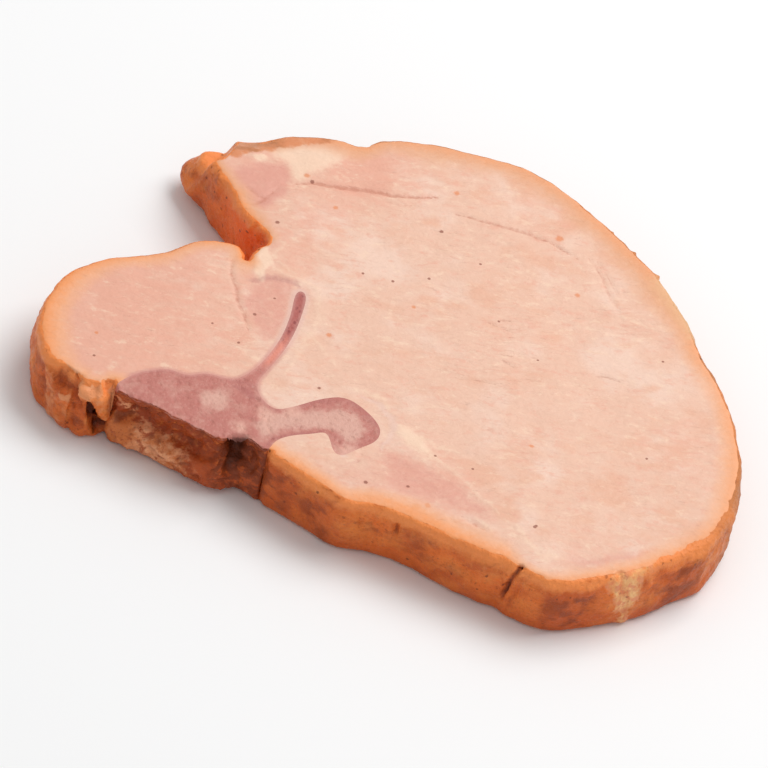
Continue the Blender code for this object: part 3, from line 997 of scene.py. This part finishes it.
# A painted highlight for the upper edge of the side, which turns up to the light.
RIM_HIGHLIGHT = (1, 0.31, 0.085)
RIM_FILM = (0.80, 0.475, 0.25)
RIM_RUST = (0.74, 0.27, 0.12)
RIM_UMBER = (0.52, 0.19, 0.075)
CRUST = (0.83, 0.175, 0.026)
CRUST_OCHRE = (0.83, 0.22, 0.038)
CRUST_TAN = (0.88, 0.31, 0.08)
CRUST_RED = (0.58, 0.10, 0.014)
CRUST_BROWN = (0.30, 0.052, 0.01)
CRUST_DARK = (0.12, 0.02, 0.005)
CRUST_UMBER = (0.40, 0.145, 0.04)
RIND_FAT = (1, 0.58, 0.25)
STREAK_FLESH = (0.84, 0.33, 0.16)
TORN_PEACH = (0.88, 0.34, 0.145)
# A painted glow for the side by the cleft.
PAINTED_GLOW = (1, 0.175, 0.016)
JOINT = (0.66, 0.30, 0.25)


def muscle_colour(graph, mottle, patchy, fibre, streak):
    """The cut muscle: pale, peach and pink areas, fibres, a few brown streaks, and flecks."""
    pale = graph.add(graph.times(graph.value("pale"), 0.3), graph.noise(10, 0, 3))
    warm = graph.add(graph.times(graph.value("warm"), 0.28), patchy)
    blush = graph.add(graph.value("blush"), graph.times(graph.centred(mottle), 1.5))
    fibrous = graph.step(graph.noise(7, 36), 0.36, 0.62)
    flecks = graph.noise((2.4, 1.5, 1.6), 41, 4, 0.6)
    return graph.paint(
        EYE,
        (pale, 0.46, 0.72, 1, EYE_PALE),
        (warm, 0.5, 0.8, 0.95, EYE_PEACH),
        (blush, 0.1, 1.1, 0.95, EYE_PINK),
        (graph.times(graph.step(fibre, 0.52, 0.72, 0, 0.55), fibrous), EYE_PINK),
        (graph.times(graph.step(fibre, 0.46, 0.28, 0, 0.5), fibrous), FAT_CREAM),
        (graph.times(streak, 0.3), CREASE_BROWN),
        (flecks, 0.54, 0.72, 0.55, EYE_PINK),
        (flecks, 0.44, 0.28, 0.55, FAT_CREAM),
        (graph.rough("lean", 0.7), 0.1, 0.95, 0.9, LEAN_DARK),
        (graph.rough("fat", 0.8), 0.15, 0.85, 0.85, FAT_CREAM),
        (graph.rough("mauve", 0.8), 0.1, 0.9, 0.6, MAUVE),
        (graph.rough("joint", 0.5), 0.1, 1, 0.75, JOINT),
        (graph.rough("halo", 0.6), 0.1, 0.85, 0.75, CARTILAGE_PALE),
        (graph.rough("line", 0.9), 0.2, 0.8, 0.55, LINE_RED),
        # painted shade in the small creases
        (graph.rough("crease", 0.9), 0.2, 0.9, 0.6, CREASE_BROWN),
        (graph.rough("speck", 0.6), 0.25, 0.6, 0.8, SPECK_BROWN),
        (graph.rough("glow", 0.7), 0.2, 0.7, 0.7, SPOT_ORANGE))


def smoked_edge(graph, colour, mottle, patchy, film):
    """The smoke's colour along the edge of the cut face, and the browned back of the flap."""
    tint = graph.rough("tint", 0.25)
    pale = graph.mix(graph.step(graph.axis("Y"), 2, 22), RIM_PALE, RIM_TAN)
    edge = graph.times(graph.step(tint, 0.55, 0.98, 0, 0.9), graph.step(film, 0, 1, 1, 0.4))
    edge = graph.times(edge, graph.step(graph.value("aged"), 0, 1, 1, 0.55))
    rust = graph.step(graph.rough("rust", 1), 0.25, 0.8)
    return graph.paint(
        colour,
        (tint, 0.12, 0.75, 0.9, pale),
        (edge, RIM_ORANGE),
        (graph.times(film, graph.step(tint, 0.6, 0.95, 0, 0.6)), RIM_FILM),
        (graph.times(rust, graph.step(mottle, 0.34, 0.5, 0.55, 0.95)),
         graph.mix(graph.step(patchy, 0.46, 0.66), RIM_RUST, RIM_UMBER)))


def crust_colour(graph, film):
    """The smoked side's colour: orange-brown with soft darker panels, smears and pepper, painted shade in
    its sunken places and low down, and a painted highlight and glow.
    """
    part = graph.rough("part", 0.15)
    broad = graph.noise((11, 11, 8), 1)
    light = graph.noise((5, 5, 3.4), 17, 3)
    shade = graph.noise((7.5, 7.5, 5), 4, 3)
    brown = graph.noise((4.2, 4.2, 2.8), 27, 3, 0.55)
    smears = graph.noise((1.3, 1.3, 4.5), 19, 3, 0.6)
    fine = graph.noise(0.6, 7, 4, 0.65)
    scorch = graph.step(graph.rough("scorch", 0.5), 0.1, 0.9)
    # A painted highlight along the rounded upper edge of the side.
    rim_highlight = graph.times(graph.step(part, 0.78, 0.92), graph.step(brown, 0.74, 0.56))
    aged = graph.times(graph.value("aged"), graph.step(shade, 0.36, 0.64, 0.5, 0.78))
    film = graph.times(film, graph.step(part, 0.7, 0.88))
    pits = graph.step(graph.cells(1.7, 9, 0.6), 0.2, 0.08)
    return graph.paint(
        CRUST,
        (broad, 0.4, 0.65, 1, CRUST_OCHRE),
        (light, 0.48, 0.72, 0.6, CRUST_TAN),
        (shade, 0.42, 0.62, 0.8, CRUST_RED),
        (brown, 0.52, 0.76, 0.6, CRUST_BROWN),
        (smears, 0.52, 0.75, 0.3, CRUST_RED),
        (smears, 0.46, 0.28, 0.25, CRUST_TAN),
        (fine, 0.54, 0.7, 0.45, CRUST_BROWN),
        (fine, 0.44, 0.3, 0.45, CRUST_TAN),
        # painted shade: darker towards the bottom of the side
        (part, 0.6, 0.05, 0.6, CRUST_RED),
        # painted light: a glow on the side by the cleft
        (graph.times(graph.value("ember"), 0.95), PAINTED_GLOW),
        (graph.times(scorch, 0.75), CRUST_RED),
        (graph.times(scorch, graph.step(brown, 0.42, 0.6, 0, 0.8)), CRUST_BROWN),
        # painted highlight on the upper edge of the side
        (graph.times(rim_highlight, 0.85), RIM_HIGHLIGHT),
        (aged, CRUST_UMBER),
        (graph.times(film, 0.8), RIM_FILM),
        fat_streak(graph, part, light, smears),
        (graph.times(pits, graph.step(light, 0.5, 0.42, 0, 0.55)), CRUST_BROWN),
        (graph.cells(2.9, 5, 0.4), 0.13, 0.06, 0.7, CRUST_DARK),
        # painted shade where the relief sinks
        (graph.value("relief"), -0.2, -0.8, 0.7, CRUST_BROWN))


def fat_streak(graph, part, light, smears):
    """Where fat shows in a streak up the front of the side, wider at its top, and its colour."""
    spread = graph.step(part, 0, 1, 0.9, 2.7)
    torn = graph.noise(1.4, 61, 3, 0.6)
    lumpy = graph.times(graph.math("SUBTRACT", graph.add(light, torn), 1), 5)
    away = graph.add(graph.math("ABSOLUTE", graph.add(graph.axis("X"), -STREAK_X)), lumpy)
    streak = graph.step(graph.math("DIVIDE", away, spread), 1.3, 0.7)
    streak = graph.times(streak, graph.step(graph.axis("Y"), -34, -40))
    streak = graph.times(streak, graph.step(smears, 0.3, 0.6, 0.95, 0.5))
    return streak, graph.mix(graph.step(torn, 0.4, 0.56), STREAK_FLESH, RIND_FAT)


def meat_material():
    graph = Graph("cured_meat", 1.1)
    mottle = graph.noise((3.6, 2, 3), 3, 4, 0.62)
    patchy = graph.noise((6, 4, 5), 15, 3, 0.55)
    along = graph.turned(10)
    fibre = graph.noise((3.4, 1.1, 1), 9, 4, 0.6, 1.2, along)
    streak = graph.step(graph.noise((3, 0.6, 1), 29, 3, 0.6, 0.8, along), 0.6, 0.78)
    streak = graph.times(streak, graph.step(graph.noise(8, 6), 0.5, 0.64))
    film = graph.step(graph.rough("film", 0.6), 0.25, 0.7)
    side = graph.step(graph.rough("crust", 0.5), 0.38, 0.62)
    hollow_and_shade = graph.rough("hollow_and_shade", 0.4)
    colour = muscle_colour(graph, mottle, patchy, fibre, streak)
    colour = smoked_edge(graph, colour, mottle, patchy, film)
    colour = graph.paint(
        colour,
        (side, crust_colour(graph, film)),
        (graph.rough("torn", 0.9), 0.2, 0.6, 0.85, TORN_PEACH),
        # painted shade in the folds and sunken shapes, darkest at their deepest
        (hollow_and_shade, 0.25, 0.75, 0.7, CRUST_BROWN),
        (hollow_and_shade, 0.7, 1.1, 0.9, CRUST_DARK))
    roughness = graph.step(graph.noise(1.6, 5, 3), 0.35, 0.7, 0.36, 0.55)
    lumps = graph.times(graph.centred(graph.noise(1.5, 51, 4, 0.62)), side)
    normal = graph.bump(graph.noise((0.8, 0.5, 0.6), 8, 4, 0.6), 0.1)
    for height, distance in ((lumps, 0.5), (fibre, 0.16), (graph.times(streak, -1), 0.04)):
        normal = graph.bump(height, distance, normal)
    return graph.finish(colour, roughness, normal)


BONE_MAUVE = (0.555, 0.20, 0.163)
BONE_BEIGE = (0.74, 0.42, 0.335)
BONE_DEEP = (0.47, 0.16, 0.14)
BONE_ROSE = (0.47, 0.135, 0.115)
BONE_FLESH_PINK = (0.80, 0.445, 0.35)
BONE_SALMON = (0.78, 0.28, 0.205)
BEAD_DARK = (0.24, 0.05, 0.05)
CHINE_TAN = (0.66, 0.18, 0.045)
CHINE_BROWN = (0.40, 0.064, 0.012)
CHINE_RUST = (0.49, 0.085, 0.016)
CHINE_CREAM = (0.88, 0.37, 0.18)
CHINE_PALE = (0.98, 0.56, 0.30)
CHINE_DARK = (0.24, 0.045, 0.013)
# Painted shade for the hole in the bone's side.
HOLE_SHADE = (0.075, 0.014, 0.004)


def sawn_colour(graph, torn):
    """The bone's sawn side: dark brown above a broken tan ledge, rusty and dark at its right; the dark
    brown is partly painted shade in the recess under the cut face.
    """
    x = graph.axis("X")
    part = graph.value("part")
    lumps = graph.noise((2.2, 2.2, 1.6), 14, 4, 0.6)
    broad = graph.noise((4, 4, 2.4), 44, 3)
    level = graph.add(part, graph.times(graph.centred(lumps), 0.3))
    crumbs = graph.noise(0.55, 23, 3, 0.6)
    crumbling = graph.step(graph.rough(x, 5), -42, -38)
    ledge = graph.paint(
        CHINE_TAN,
        (graph.times(graph.step(broad, 0.4, 0.58), crumbling), CHINE_CREAM),
        (graph.times(graph.step(crumbs, 0.56, 0.7, 0, 0.6), crumbling), CHINE_PALE),
        (crumbs, 0.42, 0.3, 0.8, CHINE_BROWN),
        (graph.rough(x, 6), -33, -29, 1, CHINE_RUST),
        (lumps, 0.52, 0.64, 0.8, CHINE_BROWN))
    ember = graph.step(graph.noise(1.6, 33, 3), 0.56, 0.7, 0, 0.45)
    dark = graph.step(graph.rough(x, 5), -27.6, -24.6, 0, 0.8)
    flake = graph.step(graph.rough("flake", 1.4), 0.2, 0.6, 0, 0.9)
    return graph.paint(
        # the dark brown ground of the recess above the ledge, partly its own colour and partly painted
        # shade
        CHINE_BROWN,
        (torn, 0.54, 0.7, 0.75, CHINE_TAN),
        (torn, 0.46, 0.3, 0.8, CHINE_DARK),
        (level, 0.5, 0.42, 1, ledge),
        (graph.times(ember, graph.step(x, -32, -28)), CRUST),
        (graph.times(dark, graph.step(torn, 0.62, 0.5)), CHINE_DARK),
        # painted shade where the relief sinks
        (graph.value("relief"), -0.2, -0.8, 0.7, CHINE_DARK),
        (part, 0.12, 0.02, 0.6, CHINE_RUST),
        (graph.times(flake, graph.step(torn, 0.42, 0.56)), CHINE_CREAM))


def bone_material():
    graph = Graph("chine_bone", 1.2)
    y = graph.axis("Y")
    spongy = graph.noise(0.6, 1, 3, 0.65)
    rose = graph.step(graph.rough(y, 4), -8, -3)
    bead = graph.step(graph.cells((0.9, 1.1, 1), 2), 0.45, 0.2, 0, 0.6)
    bead = graph.times(graph.times(bead, rose), graph.step(graph.value("beads"), 0.2, 0.7))
    torn = graph.noise((1.6, 1.6, 0.9), 5, 4, 0.62)
    side = graph.step(graph.rough("rim", 0.7), 0.35, 0.1)
    side = graph.math("MAXIMUM", side, graph.step(graph.value("part"), 0.985, 0.94))
    colour = graph.paint(
        BONE_MAUVE,
        (graph.noise(2.6, 3, 3), 0.45, 0.7, 0.35, BONE_BEIGE),
        (graph.rough("pale", 0.9), 0.1, 0.9, 0.9, BONE_BEIGE),
        (spongy, 0.52, 0.7, 0.22, BONE_DEEP),
        (spongy, 0.46, 0.32, 0.25, BONE_BEIGE),
        (graph.rough("mauve", 0.8), 0.1, 0.9, 0.65, BONE_DEEP),
        (graph.rough("flesh", 0.5), 0.1, 0.9, 0.85, BONE_FLESH_PINK),
        (y, -14, -10.5, 1, graph.paint(BONE_SALMON, (rose, BONE_ROSE), (bead, BEAD_DARK))),
        (graph.rough("joint", 0.5), 0.2, 1.1, 0.8, graph.mix(rose, JOINT, MAUVE)),
        (side, sawn_colour(graph, torn)),
        # painted shade in the hole
        (graph.rough("hole_shade", 0.8), 0.2, 0.7, 0.75, HOLE_SHADE))
    roughness = graph.step(spongy, 0.35, 0.7, 0.36, 0.58)
    return graph.finish(colour, roughness, graph.bump(torn, 0.25, graph.bump(spongy, 0.16)))


# ---------------------------------------------------------------- studio

def build_studio():
    """A pale floor, a pale sky and one large soft light from the back right."""
    scene = bpy.context.scene
    scene.view_settings.view_transform = "Standard"
    world = bpy.data.worlds.new("studio")
    scene.world = world
    world.use_nodes = True
    background = world.node_tree.nodes["Background"]
    background.inputs["Color"].default_value = (1, 1, 1, 1)
    background.inputs["Strength"].default_value = 0.52

    mesh = bpy.data.meshes.new("floor")
    mesh.from_pydata([(-4, -4, 0), (4, -4, 0), (4, 4, 0), (-4, 4, 0)], [], [(0, 1, 2, 3)])
    floor = new_object("floor", mesh)
    floor.location.z = -0.0002
    paint = bpy.data.materials.new("floor_paint")
    paint.use_nodes = True
    shader = paint.node_tree.nodes["Principled BSDF"]
    shader.inputs["Base Color"].default_value = (0.93, 0.93, 0.93, 1)
    shader.inputs["Roughness"].default_value = 0.7
    mesh.materials.append(paint)

    light = bpy.data.lights.new("softbox", "AREA")
    light.shape = "RECTANGLE"
    light.size = 0.9
    light.size_y = 0.7
    light.energy = 8.8
    lamp = new_object("softbox", light)
    lamp.location = (0.45, 0.35, 0.95)
    lamp.rotation_mode = "QUATERNION"
    lamp.rotation_quaternion = (-lamp.location).to_track_quat("-Z", "Y")


def build_camera():
    """A long lens looking down at the slice from its bone side, rolled a little."""
    data = bpy.data.cameras.new("camera")
    data.sensor_width = 36
    elevation = math.radians(44.4)
    roll = math.radians(11.9)
    distance = 3.2
    view_width = 0.1281
    data.lens = data.sensor_width * distance / view_width
    data.clip_start = 0.05
    data.clip_end = 20
    aim = Vector((-0.0014, 0.0013, 0))
    back = Vector((0, -math.cos(elevation), math.sin(elevation)))
    camera = new_object("camera", data)
    camera.location = aim + back * distance
    camera.rotation_mode = "QUATERNION"
    camera.rotation_quaternion = (-back).to_track_quat("-Z", "Y") @ Quaternion((0, 0, 1), roll)
    bpy.context.scene.camera = camera


build_studio()
build_camera()
outlines = slice_outlines()
build_meat(*outlines["meat"])
build_bone(*outlines["bone"])
